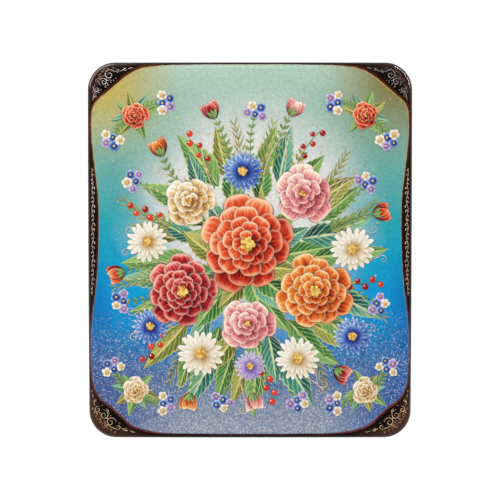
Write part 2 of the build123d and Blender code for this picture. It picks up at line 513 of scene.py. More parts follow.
# %% Field lines
# From where to where in mm, across the lid and along it, the brush presses harder or lifts
CORNER_ACROSS, CORNER_ALONG = (34, 44), (47, 55)
END_ACROSS, END_ALONG = (30, 42), (66, 72)


def ramp(value, start, end):
    """0 before the start, 1 after the end and a straight rise between them."""
    return min(max((value - start) / (end - start), 0), 1)


def edge_stroke(inset, least):
    """The field's edge drawn in by an inset. The brush is light along the sides, lightest at the ends."""
    stroke = []
    for x, y in EDGE_POINTS:
        across, along = abs(x) / MM, abs(y) / MM
        corner = ramp(across, *CORNER_ACROSS) * ramp(along, *CORNER_ALONG)
        end = ramp(along, *END_ALONG) * (1 - ramp(across, *END_ACROSS))
        place = (x * (1 - inset / HALF_WIDTH), y * (1 - inset / HALF_DEPTH))
        stroke.append((*place, least + (1 - least) * corner - 0.7 * least * end))
    return stroke


def line_paint(name, tones, roughness):
    """Tempera line under lacquer: a colour that changes from front to back and pools along the stroke."""
    paint = new_material(name)
    place, _, y, _ = object_place(paint)
    level = add(paint, "MapRange", y, -HALF_DEPTH, HALF_DEPTH)
    colour = add(paint, "ValToRGB", level, stops=tones)
    pool = add(paint, "TexNoise", place, Scale=per_mm(3), Detail=4.0)
    value = add(paint, "MapRange", pool, 0.3, 0.7, 0.6, 1.3)
    tone = add(paint, "VectorMath SCALE", colour, value)
    relief = add(paint, "Bump", Strength=0.2, Distance=0.03 * MM, Height=pool)
    return surface(
        paint, Base_Color=tone, Normal=relief, Roughness=roughness, Specular_IOR_Level=0.15,
        Coat_Weight=0.2, Coat_Roughness=0.12, Coat_IOR=1.5
    )


SHADE_TONES = [(0.1, "#1d0d0a"), (0.5, "#170a05"), (0.9, "#1d0d03")]
BROWN_TONES = [
    (0.08, "#603435"), (0.26, "#4f4456"), (0.45, "#352012"), (0.65, "#3f220e"), (0.8, "#5a280e"),
    (0.95, "#552610"),
]
PALE_TONES = [(0.1, "#7f7690"), (0.5, "#a08a86"), (0.75, "#cba878"), (0.95, "#d8b67a")]
# Name, inset, pressure along the sides, width, flatness, height in the stack and paint
FIELD_LINES = [
    ("shade", -0.6, 0.25, 1.2, 0.05, 0.085, line_paint("brown_shade_paint", SHADE_TONES, 0.5)),
    ("brown", -0.26, 0.7, 0.85, 0.06, 0.11, line_paint("brown_line_paint", BROWN_TONES, 0.5)),
    ("gold", 0.18, 0.75, 0.24, 0.1, 0.14, line_paint("pale_line_paint", PALE_TONES, 0.4)),
]
for name, inset, least, width, flat, lift, paint in FIELD_LINES:
    stroke = edge_stroke(inset * MM, least)
    line = brush_lines(f"field_line_{name}", [stroke], width * MM, lift * MM, closed=True, pressed=flat)
    finish_piece(line, paint)

# %% [markdown]
# ## Gold scrolls
# On the black of each corner runs a row of scrolls, largest at the bend of the rim and trailing off along
# both edges, with a fainter row of small ones behind it and a few dots before it. A scroll is one pull of
# the brush: it sweeps in, swells, and winds up into a round end. A logarithmic spiral gives that line, so
# a scroll needs only its middle, its radius, the side that it comes in from and the way it turns.

# %% Scroll table
# The ornament of a right-hand corner in mm: scrolls, bright and faint, short strokes and dots
CORNERS = {
    "back": {
        "scrolls": [
            (57.0, 70.9, 1.55, 125, -1), (59.3, 68.0, 1.2, 20, 1), (62.1, 65.1, 1.0, 65, -1),
            (53.6, 72.7, 0.62, 10, -1), (62.9, 62.2, 0.5, 100, 1), (50.6, 73.3, 0.5, 190, 1),
        ],
        "faint": [
            (60.6, 70.9, 0.7, 200, 1), (59.0, 72.6, 0.6, 160, -1), (62.0, 68.4, 0.6, 120, -1),
            (63.3, 65.8, 0.45, 200, 1), (55.2, 73.9, 0.4, 180, 1), (57.2, 73.4, 0.45, 170, 1),
            (61.5, 69.6, 0.4, 140, 1), (59.9, 71.9, 0.4, 180, -1), (62.8, 67.1, 0.4, 160, 1),
            (58.7, 71.2, 0.45, 190, 1), (60.5, 69.2, 0.45, 150, -1), (63.6, 64.0, 0.35, 100, -1),
        ],
        "dashes": [
            [(52.6, 72.4), (51.6, 72.7), (50.4, 73.6)], [(49.2, 73.4), (48.2, 73.9), (47.2, 73.7)],
            [(46.2, 73.9), (45.1, 74.0)], [(63.0, 63.6), (63.5, 62.0), (63.7, 60.6)],
            [(63.9, 59.6), (64.0, 58.8)],
            [(55.0, 72.2), (56.2, 73.2), (57.6, 73.0)], [(60.6, 66.6), (61.4, 67.4), (61.2, 68.4)],
        ],
        "dots": [(56.3, 67.9), (55.3, 68.7), (55.5, 67.2), (57.4, 66.7), (54.4, 69.6), (58.4, 65.9)],
    },
    "front": {
        "scrolls": [
            (61.6, -64.8, 1.0, 110, -1), (59.2, -67.0, 1.5, 85, 1), (56.5, -69.9, 1.5, 185, -1),
            (53.4, -71.8, 0.9, -10, -1), (62.9, -61.0, 0.5, 120, 1), (50.4, -73.1, 0.5, 20, 1),
        ],
        "faint": [
            (60.9, -69.6, 0.65, 60, 1), (59.0, -71.5, 0.6, 30, -1), (62.5, -67.2, 0.55, 80, 1),
            (63.5, -64.4, 0.45, 90, -1), (56.4, -73.2, 0.45, 20, 1), (57.8, -72.5, 0.45, 30, 1),
            (61.7, -68.4, 0.4, 70, -1), (60.0, -70.6, 0.4, 40, 1), (63.1, -65.8, 0.4, 90, 1),
            (58.6, -70.5, 0.4, 50, -1), (61.0, -67.3, 0.4, 60, 1), (54.6, -73.9, 0.35, 10, -1),
        ],
        "dashes": [
            [(62.9, -63.2), (63.4, -62.2), (63.2, -61.2)], [(63.5, -59.8), (63.7, -58.6)],
            [(63.9, -57.8), (64.0, -56.9)], [(51.8, -72.4), (50.6, -73.6), (49.4, -73.2)],
            [(48.6, -73.4), (47.6, -74.0), (46.6, -73.9)], [(58.0, -70.9), (56.2, -71.9), (54.2, -72.8)],
            [(57.2, -65.8), (57.4, -64.9), (58.1, -64.5)],
        ],
        "dots": [(56.4, -67.3), (57.1, -66.3), (55.4, -68.2), (54.3, -69.3), (59.8, -63.0), (52.8, -70.2)],
    },
}
for end, corner in CORNERS.items():
    print(end, "corner:", {kind: len(strokes) for kind, strokes in corner.items()})

# %% [markdown]
# ## Scroll strokes
# The table gives a stroke as a few numbers, and these functions turn them into points with a pressure.
# Short strokes swell in their middle, and the three large scrolls of a corner carry small leaves.

# %% Scroll strokes
# A scroll's first and last reach in radii, and where its leaves sit and how far they lean
SWEEP_IN = 1.55
EYE = 0.36
LEAF_TURNS = (130, 175, 220)
LEAF_LEAN = math.radians(50)


def away(place, reach, angle):
    """The point at a distance from a place, in a direction."""
    return place[0] + reach * math.cos(angle), place[1] + reach * math.sin(angle)


def winding(middle, start, sense, turns, outer, inner, steps=20):
    """Points of a spiral round a middle, from its outer radius to its inner one."""
    shares = [step / steps for step in range(steps + 1)]
    whole = sense * turns * 2 * math.pi
    return [away(middle, outer * (inner / outer) ** share, start + whole * share) for share in shares]


def scroll(x, y, radius, start, sense):
    """One scroll in millimetres, with the swell of the brush and a round end. Small ones are lighter."""
    turns = 0.85 + 0.4 * min(radius, 1.25)
    weight = min(0.5 + 0.45 * radius, 1.0)
    path = winding((x, y), math.radians(start), sense, turns, SWEEP_IN * radius, EYE * radius)
    last = len(path) - 1
    swell = [0.25 + 0.75 * math.sin(math.pi * (i / last) ** 0.75) for i in range(last)] + [1.1]
    return [(x, y, weight * pressure) for (x, y), pressure in zip(path, swell)]


def dash(points):
    """A short stroke that swells in its middle."""
    swell = [math.sin(math.pi * (i + 0.4) / (len(points) - 0.2)) for i in range(len(points))]
    return [(x, y, 0.25 + 0.85 * pressure) for (x, y), pressure in zip(points, swell)]


def dot(x, y, size=0.4):
    """A touch of the tip of the brush."""
    return [(x - size / 2, y, 0.3), (x, y, 1.5), (x + size / 2, y, 0.3)]


def scroll_leaves(x, y, radius, start, sense):
    """Three small leaves on the back of a large scroll."""
    outs = [math.radians(start + sense * turn) for turn in LEAF_TURNS]
    feet = [(away((x, y), 1.25 * radius, out), out + sense * LEAF_LEAN) for out in outs]
    return [dash([away(foot, reach, lean) for reach in (0, 0.4, 0.8)]) for foot, lean in feet]


def bright_strokes(corner):
    """The bright strokes of a corner. The three large scrolls have leaves."""
    strokes = [scroll(*curl) for curl in corner["scrolls"]]
    strokes += [dash(points) for points in corner["dashes"]] + [dot(*place) for place in corner["dots"]]
    return strokes + [leaf for curl in corner["scrolls"][:3] for leaf in scroll_leaves(*curl)]


print("bright strokes in a corner:", {end: len(bright_strokes(corner)) for end, corner in CORNERS.items()})

# %% [markdown]
# ## The vine in the side lenses
# A hair-thin vine sways down each lens, close to the rim. Hooks spring from it, each an open curl that
# ends in a drop of paint. They sit in the hollows of the sway: two reach into the lens, and the next two
# towards the rim. They shrink and the sway dies away towards both ends, where the lens runs out.

# %% Vine strokes
VINE_TOP, VINE_BOTTOM = 33.0, -18.6
VINE_WAVES = 7
VINE_WAVE = (VINE_TOP - VINE_BOTTOM) / VINE_WAVES
VINE_LINE = 63.6
VINE_SWAY = 0.42
VINE_FADE = 10
VINE_STEPS = 10
# Share of the wave where a hook springs, its radius and its side: -1 into the lens, 1 towards the rim
HOOKS = [(0.1, 0.6, -1), (0.36, 0.56, -1), (0.63, 0.42, 1), (0.85, 0.38, 1)]
HOOK_PRESSURE = [0.6, 0.8, 1, 1, 1, 1, 1, 1.3, 2.3, 2.7]


def vine_point(y):
    """Where the vine passes a height y, and how full it grows there, from 0 to 1."""
    full = ramp(min(VINE_TOP - y, y - VINE_BOTTOM), 0, VINE_FADE)
    sway = VINE_SWAY * full * math.sin(2 * math.pi * (VINE_TOP - y) / VINE_WAVE)
    return VINE_LINE + 0.4 * (1 - full) + sway, full


def hook(x, y, radius, side):
    """An open curl beside the vine: it leaves it upwards, turns over and ends in a drop of paint."""
    middle = (x + side * 1.1 * radius, y)
    start = math.radians(210 if side > 0 else -30)
    path = winding(middle, start, -side, 0.76, 1.2 * radius, 0.62 * radius, len(HOOK_PRESSURE) - 1)
    return [(*place, pressure) for place, pressure in zip(path, HOOK_PRESSURE)]


def vine_strokes():
    """The vine of the right lens, in millimetres."""
    heights = [VINE_TOP - step * VINE_WAVE / VINE_STEPS for step in range(VINE_WAVES * VINE_STEPS + 1)]
    strokes = [[(vine_point(y)[0], y, 0.75) for y in heights]]
    for wave in range(VINE_WAVES):
        for share, radius, side in HOOKS:
            y = VINE_TOP - (wave + share) * VINE_WAVE
            x, full = vine_point(y)
            strokes.append(hook(x, y, radius * (0.45 + 0.55 * full), side))
    return strokes


print("strokes in a lens:", len(vine_strokes()))

# %% [markdown]
# ## Gold paint
# The scrolls are powdered gold bound in gum. It lies thick in places and thin in others, so a noise sets
# its tone and its shine. At the back it is pale and pinkish, at the front it is deeper. The back right
# corner is darker: painted shade, away from the light. The faint row is the same paint, rubbed nearly away.

# %% Gold paint
GOLD_LIFT = 0.02 * MM
# How dark the painted shade leaves the gold at the back right corner
BACK_RIGHT_SHADE = 0.55
GOLD_WIDTH = 0.22 * MM
FAINT_WIDTH = 0.32 * MM
VINE_WIDTH = 0.16 * MM


def shell_gold(name, front, middle, back):
    """Powdered gold in gum, brushed on: a soft metal whose tone runs from the lid's front to its back."""
    paint = new_material(name)
    place, x, y, _ = object_place(paint)
    load = add(paint, "TexNoise", place, Scale=per_mm(1.6), Detail=4.0)
    level = add(paint, "MapRange", y, -HALF_DEPTH, HALF_DEPTH)
    gold = add(paint, "ValToRGB", level, stops=[(0.2, front), (0.42, middle), (1.0, back)])
    thick = add(paint, "MapRange", load, 0.3, 0.65, 0.55, 1.2)
    # Painted shade: the gold darkens towards the back right corner, away from the light at the back left.
    to_right = add(paint, "MapRange", x, 20 * MM, 48 * MM)
    to_back = add(paint, "MapRange", y, 40 * MM, 58 * MM)
    corner = add(paint, "Math MULTIPLY", to_right, to_back)
    shade_back_right = add(paint, "MapRange", corner, 0.0, 1.0, 1.0, BACK_RIGHT_SHADE)
    tone = add(paint, "VectorMath SCALE", gold, add(paint, "Math MULTIPLY", thick, shade_back_right))
    shine = add(paint, "MapRange", load, 0.3, 0.7, 0.5, 0.3)
    relief = add(paint, "Bump", Strength=0.3, Distance=0.03 * MM, Height=load)
    return surface(
        paint, Base_Color=tone, Roughness=shine, Normal=relief, Metallic=0.15,
        Coat_Weight=0.6, Coat_Roughness=0.08, Coat_IOR=1.52
    )


def on_side(strokes, side):
    """Strokes in millimetres laid on one side of the lid, 1 for the right and -1 for the left."""
    return [[(*on_top(side * x, y), pressure) for x, y, pressure in stroke] for stroke in strokes]


gold_paint = shell_gold("shell_gold_paint", "#ffdaac", "#ecc8b2", "#fbeee6")
rubbed_gold = shell_gold("rubbed_gold_paint", "#b8805a", "#9c6c54", "#a87c68")
ornaments = []
for end, corner in CORNERS.items():
    faint = [scroll(*curl) for curl in corner["faint"]]
    ornaments.append((f"scroll_{end}", bright_strokes(corner), GOLD_WIDTH, gold_paint))
    ornaments.append((f"faint_{end}", faint, FAINT_WIDTH, rubbed_gold))
ornaments.append(("vine", vine_strokes(), VINE_WIDTH, gold_paint))
for side, side_name in [(1, "right"), (-1, "left")]:
    for ornament, strokes, width, paint in ornaments:
        gilding = brush_lines(f"gold_{ornament}_{side_name}", on_side(strokes, side), width, GOLD_LIFT)
        finish_piece(gilding, paint)

# %% [markdown]
# ## Petals and leaves
# Every petal and leaf starts as a flat grid, 10 mm long, whose rows are scaled one by one to the shape's
# width at that height. That is quick to do by hand too, and the grid brings a UV map that runs from foot
# to tip, which the paint can follow. Each is modelled once. A stamp then sets down a copy, turned and
# sized, with its own mesh and a tint, so that no two petals of a flower have quite the same colour.

# %% Blanks
BLANK = 10 * MM


def select_points(piece, chosen):
    """In edit mode, selects the points whose place passes a test."""
    mesh = bmesh.from_edit_mesh(piece.data)
    for vert in mesh.verts:
        vert.select_set(chosen(vert.co))
    mesh.select_flush_mode()


def blank_share(height, foot, widest, blunt):
    """Share of the full width at a height from 0 to 1: it swells to the widest height, then rounds off."""
    if height < widest:
        return foot + (1 - foot) * math.sin(math.pi / 2 * height / widest)
    return max(math.cos(math.pi / 2 * (height - widest) / (1 - widest)), 0.0004) ** blunt


def make_blank(name, rows, columns, foot, widest, blunt, sweep=0.0, teeth=0.0):
    """A flat petal or leaf, as wide as it is long, with its foot at the origin and its tip along +Y."""
    start_clean()
    middle = (0, BLANK / 2, 0)
    bpy.ops.mesh.primitive_grid_add(x_subdivisions=columns, y_subdivisions=rows, size=BLANK, location=middle)
    blank = bpy.context.object
    blank.name = name
    bpy.ops.object.transform_apply(location=True, rotation=True, scale=True)
    bpy.ops.object.mode_set(mode="EDIT")
    for row in range(rows + 1):
        height = row / rows
        select_points(blank, lambda place: abs(place.y - height * BLANK) < BLANK / 100)
        share = blank_share(height, foot, widest, blunt) * (1 - teeth * (row % 2))
        bpy.ops.transform.resize(value=(share, 1, 1), center_override=(0, height * BLANK, 0))
        bpy.ops.transform.translate(value=(sweep * BLANK * height**2, 0, 0))
    bpy.ops.object.mode_set(mode="OBJECT")
    blank.data.attributes.new("tint", "FLOAT", "POINT")
    return blank


def make_drop():
    """A drop of paint: a low dome, two blank lengths across, raised in two steps."""
    start_clean()
    bpy.ops.mesh.primitive_circle_add(vertices=10, radius=BLANK, fill_type="TRIFAN")
    drop = bpy.context.object
    drop.name = "drop"
    bpy.ops.object.mode_set(mode="EDIT")
    bpy.ops.mesh.select_all(action="SELECT")
    bpy.ops.mesh.subdivide(number_cuts=1)
    for reach, rise in ((0.8, 0.07), (0.1, 0.035)):
        select_points(drop, lambda place: place.to_2d().length < BLANK * reach)
        bpy.ops.transform.translate(value=(0, 0, BLANK * rise))
    bpy.ops.object.mode_set(mode="OBJECT")
    drop.data.attributes.new("tint", "FLOAT", "POINT")
    return drop


# Rows, columns, width at the foot, widest height, bluntness, and for leaves their sweep and teeth
SHAPES = {
    "broad": (10, 6, 0.3, 0.62, 0.42),
    "narrow": (8, 4, 0.45, 0.6, 0.5),
    "pointed": (8, 4, 0.35, 0.5, 0.9),
    "round": (6, 4, 0.3, 0.6, 0.45),
    "leaf": (18, 6, 0.06, 0.36, 1.15, 0.16, 0.12),
    "leaf_left": (18, 6, 0.06, 0.36, 1.15, -0.16, 0.12),
    "leaflet": (8, 4, 0.08, 0.42, 1.0),
    "touch": (6, 2, 0.1, 0.35, 1.2),
}
BLANKS = {name: make_blank(name, *shape) for name, shape in SHAPES.items()}
BLANKS["drop"] = make_drop()
print("blanks:", {name: len(blank.data.polygons) for name, blank in BLANKS.items()})

# %% [markdown]
# ## Petal paint
# A lacquer painter models a petal in a few passes: a dark foot, a full colour, a light tip, streaks along
# the petal, a dark outline and a fine light line inside it. The grid's UV map says where foot, tip and
# edges are, so one material can do all passes for every petal of a colour. The lacquer over it is a coat.

# %% Petal paint
def brush_marks(paint, stretch, detail):
    """The UV map's u and v, the stamp's tint, the distance from the middle line, and hairs of the brush."""
    chart = add(paint, "UVMap", uv_map="UVMap")
    u, v, _ = add(paint, "SeparateXYZ", chart).outputs
    tint = add(paint, "Attribute", attribute_name="tint").outputs["Fac"]
    apart = add(paint, "VectorMath SCALE", (61, 37, 17), tint)
    along = add(paint, "VectorMath MULTIPLY_ADD", chart, stretch, apart)
    hairs = add(paint, "TexNoise", along, Scale=1.0, Detail=detail)
    off_middle = add(paint, "Math ABSOLUTE", add(paint, "MapRange", u, 0.5, 1.0, 0.0, 1.0, clamp=False))
    return u, v, tint, off_middle, hairs


def tempera(paint, colour, hairs):
    """Closes a petal's or a leaf's material: tempera with the marks of the brush, under clear lacquer."""
    relief = add(paint, "Bump", Strength=0.15, Distance=0.03 * MM, Height=hairs)
    return surface(paint, Base_Color=colour, Normal=relief, Roughness=0.42, Coat_Roughness=0.05, **CLEAR_COAT)


def petal_paint(name, heights, tones, light, dark, streak=0.5):
    """Tempera laid in passes under clear lacquer: soft from foot to tip, with crisp light and dark edges."""
    paint = new_material(name + "_petal_paint")
    _, v, tint, off_middle, hairs = brush_marks(paint, (9, 1.3, 1), 3.0)
    hair = add(paint, "MapRange", hairs, 0.25, 0.75, -streak / 2, streak / 2)
    shift = add(paint, "MapRange", tint, 0.0, 1.0, -0.22, 0.22)
    height = chain(paint, "Math ADD", v, hair, shift)
    body = add(paint, "ValToRGB", height, stops=list(zip(heights, tones.split())))

    edge = add(paint, "Math MAXIMUM", off_middle, add(paint, "MapRange", v, 0.3, 1.0))
    shine = add(paint, "MapRange SMOOTHSTEP", edge, 0.68, 0.9, 0.0, 0.85)
    upper = add(paint, "MapRange", v, 0.25, 0.8)
    facing = add(paint, "MapRange", tint, 0.1, 0.8, 0.3, 1.0)
    lit = add(paint, "Mix RGBA", chain(paint, "Math MULTIPLY", shine, upper, facing), body, light)
    line = add(paint, "MapRange SMOOTHSTEP", edge, 0.9, 0.99, 0.0, 0.8)
    return tempera(paint, add(paint, "Mix RGBA", line, lit, dark), hairs)


FULL = (0.3, 0.5, 0.72, 0.9, 1.0)
CORAL = petal_paint("coral", FULL, "#540b0a #a01c0f #dc4524 #f07a48 #f7ab7c", "#ffdcb8", "#4e0c0a")
ORANGE = petal_paint("orange", FULL, "#641806 #b03a0d #e26d22 #f29a48 #fac97e", "#ffedbe", "#571708")
CRIMSON = petal_paint("crimson", FULL, "#33060e #700e16 #b0242a #d5504a #ec8c80", "#ffd0c2", "#33060e")
ROSE = petal_paint("rose", FULL, "#8e3442 #c9646c #e99c96 #f6c8ba #fce8da", "#fff8ee", "#8a3a40")
BUTTER = petal_paint("butter", FULL, "#8a5a22 #c2924a #e6cb92 #f5e8c6 #fdf8e8", "#ffffff", "#7e5a34")
CREAM_TONES = "#a87838 #d6bf92 #f0e8d2 #fdfaf0"
CREAM = petal_paint("cream", (0.0, 0.3, 0.6, 1.0), CREAM_TONES, "#ffffff", "#857666", 0.35)
BLUE = petal_paint("blue", (0.0, 0.4, 0.7, 1.0), "#141f60 #2749a0 #5583cf #b4d4f0", "#e6f2ff", "#15225a")
LILAC = petal_paint("lilac", (0.0, 0.4, 1.0), "#5c3e8c #957bc2 #e0d2f0", "#f6f0ff", "#4e3680", 0.3)
print("petal paints:", len([paint for paint in bpy.data.materials if paint.name.endswith("petal_paint")]))

# %% [markdown]
# ## Leaf paint
# A leaf has a dark and a light half, a pale rib, and slanting veins, and a light line along its toothed
# edge. All of that follows the same UV map, with the veins as a zigzag of height against the distance
# from the rib. Two more greens keep the bunch of leaves from looking cut from one sheet.

# %% Leaf paint
VEINS = 8
VEIN_SLANT = -2.4


def leaf_paint(name, deep, full, fresh, rib):
    """Tempera greens under lacquer: a shaded and a sunny half, with ribs drawn in a fine pale line."""
    paint = new_material(name + "_leaf_paint")
    u, v, tint, off_rib, hairs = brush_marks(paint, (5, 3, 1), 4.0)
    half = add(paint, "MapRange SMOOTHSTEP", u, 0.44, 0.56, 0.0, 0.32)
    rise = add(paint, "MapRange", v, 0.0, 1.0, 0.0, 0.3)
    patch = add(paint, "MapRange", hairs, 0.25, 0.75, 0.0, 0.3)
    lean = add(paint, "MapRange", tint, 0.0, 1.0, -0.12, 0.16)
    tone = chain(paint, "Math ADD", half, rise, patch, lean)
    body = add(paint, "ValToRGB", tone, stops=[(0.05, deep), (0.45, full), (0.9, fresh)])

    climb = add(paint, "Math MULTIPLY", v, VEINS)
    zigzag = add(paint, "Math PINGPONG", add(paint, "Math MULTIPLY_ADD", off_rib, VEIN_SLANT, climb), 0.5)
    vein = add(paint, "MapRange SMOOTHSTEP", zigzag, 0.16, 0.04, 0.0, 0.55)
    midrib = add(paint, "MapRange SMOOTHSTEP", off_rib, 0.14, 0.06, 0.0, 0.9)
    rim = add(paint, "MapRange SMOOTHSTEP", off_rib, 0.82, 0.96, 0.0, 0.75)
    lines = chain(paint, "Math MAXIMUM", vein, midrib, rim)
    return tempera(paint, add(paint, "Mix RGBA", lines, body, rib), hairs)


GREEN = leaf_paint("green", "#0e3a22", "#2f7d3f", "#8fc070", "#cfd98a")
OLIVE = leaf_paint("olive", "#2c3a14", "#6d7f35", "#b8b860", "#ead98c")
TEAL = leaf_paint("teal", "#0d3c40", "#1f7a70", "#7fc4a4", "#cfe4b0")
print("leaf paints:", GREEN.name, OLIVE.name, TEAL.name)

# %% [markdown]
# ## Drops and stems
# Berries, the hearts of flowers and the dust are drops of thick paint, which dry as low domes. A noise
# thins each one here and there, and its tint shifts the tone, so that drops side by side differ. Stems
# are plain green lines, in the same kind of paint as the lines round the field.

# %% Drop paint
def drop_paint(name, low, high):
    """A thick drop of tempera under lacquer: one colour, thin in places and different in each drop."""
    paint = new_material(name + "_drop_paint")
    place = add(paint, "TexCoord").outputs["Object"]
    tint = add(paint, "Attribute", attribute_name="tint").outputs["Fac"]
    tone_share = add(paint, "TexNoise", place, Scale=per_mm(0.8), Detail=2.0)
    mixed = add(paint, "Math MULTIPLY_ADD", tone_share, 0.5, tint)
    tone = add(paint, "ValToRGB", mixed, stops=[(0.3, low), (1.0, high)])
    return surface(paint, Base_Color=tone, Roughness=0.38, Coat_Roughness=0.05, **CLEAR_COAT)


GOLD_DROP = drop_paint("gold", "#c07d22", "#f7d878")
RED_DROP = drop_paint("berry", "#8e1410", "#e2442c")
WHITE_DROP = drop_paint("white", "#f2e6cf", "#fffdf6")
STEM_PAINT = line_paint("stem_line_paint", [(0.2, "#3f6a34"), (0.8, "#6f8f4c")], 0.45)
print("drop paints:", GOLD_DROP.name, RED_DROP.name, WHITE_DROP.name)

# %% [markdown]
# ## Stamping and joining
# A flower is many stamps joined into one piece, so stamps gather in a list until they are joined. Each
# lies a hair above the last, as a later brush stroke covers an earlier one, which also keeps two films
# from lying in one plane and flickering.

# %% Stamps
NEXT_STROKE = 0.003 * MM
rng = random.Random(7)
stamps = []


def stamp(blank, paint, place, heading, length, width, lift, layer=0, tint=None):
    """Sets down a copy of a blank with its own mesh, sized, tinted and pointed along a heading."""
    height = lift + layer * NEXT_STROKE
    tint = rng.random() if tint is None else tint
    copy = BLANKS[blank].copy()
    copy.data = BLANKS[blank].data.copy()
    copy.data.materials.append(paint)
    bpy.context.scene.collection.objects.link(copy)
    size = Matrix.Diagonal((width / BLANK, length / BLANK, min(width, length) / BLANK, 1))
    turn = Matrix.Rotation(heading - math.pi / 2, 4, "Z")
    copy.data.transform(Matrix.Translation((*place, height)) @ turn @ size)
    copy.data.attributes["tint"].data.foreach_set("value", [tint] * len(copy.data.vertices))
    stamps.append(copy)


def stamp_drop(paint, place, size, lift, layer=0, tint=None):
    """Sets down a drop of paint."""
    stamp("drop", paint, place, 0, size, size, lift, layer, tint)


def join_on_lid(name, lift):
    """Joins the stamps so far into one piece, lays it on the lid and fills it down to the ground."""
    start_clean(stamps[0])
    for piece in stamps:
        piece.select_set(True)
    bpy.ops.object.join()
    piece = stamps[0]
    stamps.clear()
    piece.name = name
    lay_on_lid(piece)
    give_film(piece, lift - GROUND_LIFT + FILM)
    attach(piece, "lid")
    print(name + ":", len(piece.data.polygons), "faces")


print("each stroke lies", NEXT_STROKE / MM, "mm above the last")

# %% [markdown]
# ## Blooms
# The large blooms are painted from the outermost petal in, each petal a golden angle on from the last, so
# that none hides the one before it. Petals shorten towards the heart. The light comes from the back
# left, so petals on that side get a lighter tint. A head of gold drops closes the heart.

# %% Blooms
GOLDEN_ANGLE = math.radians(137.508)
LIGHT_FROM = math.radians(130)


def bloom(place, radius, blank, paint, count, step, feet, lengths, ratio, lift, heading=0.0):
    """Petals round a heart, from the outermost in. Feet and lengths are shares of the radius."""
    for number in range(count):
        inward = number / (count - 1)
        angle = heading + number * step + rng.uniform(-0.06, 0.06)
        foot = radius * (feet[0] + (feet[1] - feet[0]) * inward)
        length = radius * (lengths[0] + (lengths[1] - lengths[0]) * inward) * rng.uniform(0.94, 1.06)
        tint = 0.5 + 0.3 * math.cos(angle - LIGHT_FROM) + rng.uniform(-0.18, 0.18)
        stamp(blank, paint, away(place, foot, angle), angle, length, length * ratio, lift, number, tint)


def heart(place, radius, count, size, lift):
    """A head of gold drops, packed as in a sunflower."""
    for number in range(count):
        at = away(place, radius * math.sqrt((number + 0.5) / count), number * GOLDEN_ANGLE)
        stamp_drop(GOLD_DROP, at, size / 2, lift, number % 5)


def full_bloom(place, radius, paint, lift, petals, foot, lengths, ratio, drops, head, size):
    """A full bloom of broad petals. The head of drops and their size are shares of the radius."""
    turn = rng.uniform(0, 6)
    bloom(place, radius, "broad", paint, petals, GOLDEN_ANGLE, (foot, 0.0), lengths, ratio, lift, turn)
    heart(place, head * radius, drops, size * radius, lift + (petals + 2) * NEXT_STROKE)


def rayed_bloom(place, radius, paint, lift, petals, blank):
    """A flat bloom of two rounds of narrow petals, with a gold head."""
    step = 2 * math.pi / petals
    for turn, foot, length in ((0, 0.2, 0.8), (step / 2, 0.14, 0.58)):
        bloom(place, radius, blank, paint, petals, 7 * step, (foot, foot), (length, length), 0.3, lift, turn)
        lift += petals * NEXT_STROKE
    heart(place, 0.2 * radius, 24, 0.1 * radius, lift)


# The function for a kind of bloom, and its form from the count of petals on
KINDS = {
    "peony": (full_bloom, 36, 0.36, (0.66, 0.24), 0.95, 16, 0.13, 0.085),
    "rose": (full_bloom, 22, 0.34, (0.66, 0.2), 1.25, 7, 0.08, 0.08),
    "daisy": (rayed_bloom, 18, "narrow"),
    "aster": (rayed_bloom, 20, "pointed"),
}


def flower(kind, place, radius, paint, lift):
    """One bloom of a kind."""
    make, *form = KINDS[kind]
    make(place, radius, paint, lift, *form)


LOW, MIDDLE, HIGH = 0.22 * MM, 0.3 * MM, 0.4 * MM
# Name with the kind first, place and radius in mm, paint and height in the stack
BLOOMS = [
    ("daisy_left", -41, 4, 8.5, CREAM, LOW),
    ("daisy_right", 41, 1, 9.0, CREAM, LOW),
    ("aster_back", -3, 32, 8.5, BLUE, LOW),
    ("aster_left", -40, -30, 7.5, BLUE, LOW),
    ("aster_right", 41, -34, 8.0, BLUE, LOW),
    ("rose_back_left", -24, 20, 11.0, BUTTER, LOW),
    ("rose_back_right", 21, 23, 13.0, ROSE, LOW),
    ("daisy_front_left", -20, -41, 9.5, CREAM, LOW),
    ("daisy_front_right", 19, -43, 9.0, CREAM, LOW),
    ("aster_front", 0, -46, 6.5, LILAC, LOW),
    ("peony_left", -27, -16, 15.5, CRIMSON, MIDDLE),
    ("peony_right", 26, -16, 16.0, ORANGE, MIDDLE),
    ("rose_front", -1, -29, 12.0, ROSE, MIDDLE),
    ("peony_middle", -1, 3, 20.5, CORAL, HIGH),
]
for name, x, y, radius, paint, lift in BLOOMS:
    flower(name.split("_")[0], (x * MM, y * MM), radius * MM, paint, lift)
    join_on_lid(name, lift)

# %% [markdown]
# ## Leaves
# Leaves fan out behind the blooms. Each starts under the flowers, on an oval round the middle of the
# bouquet, and points outwards, with a little scatter. They alternate between two sweeps and three greens.

# %% Leaves
BOUQUET_MIDDLE = (0, -7 * MM)


def on_oval(angle, oval):
    """A point on an oval round the middle of the bouquet, its half sizes in mm."""
    x, y = BOUQUET_MIDDLE
    return x + oval[0] * MM * math.cos(angle), y + oval[1] * MM * math.sin(angle)


def leaf_fan(count, oval, lengths, ratio, lift, first):
    """A ring of leaves that point away from the middle of the bouquet."""
    for number in range(count):
        angle = math.radians(first) + 2 * math.pi * number / count + rng.uniform(-0.1, 0.1)
        length = rng.uniform(*lengths) * MM
        heading = angle + rng.uniform(-0.35, 0.35)
        width = ratio * rng.uniform(0.85, 1.15) * length
        blank = "leaf" if number % 2 else "leaf_left"
        paint = (GREEN, TEAL, GREEN, OLIVE)[number % 4]
        stamp(blank, paint, on_oval(angle, oval), heading, length, width, lift, number)


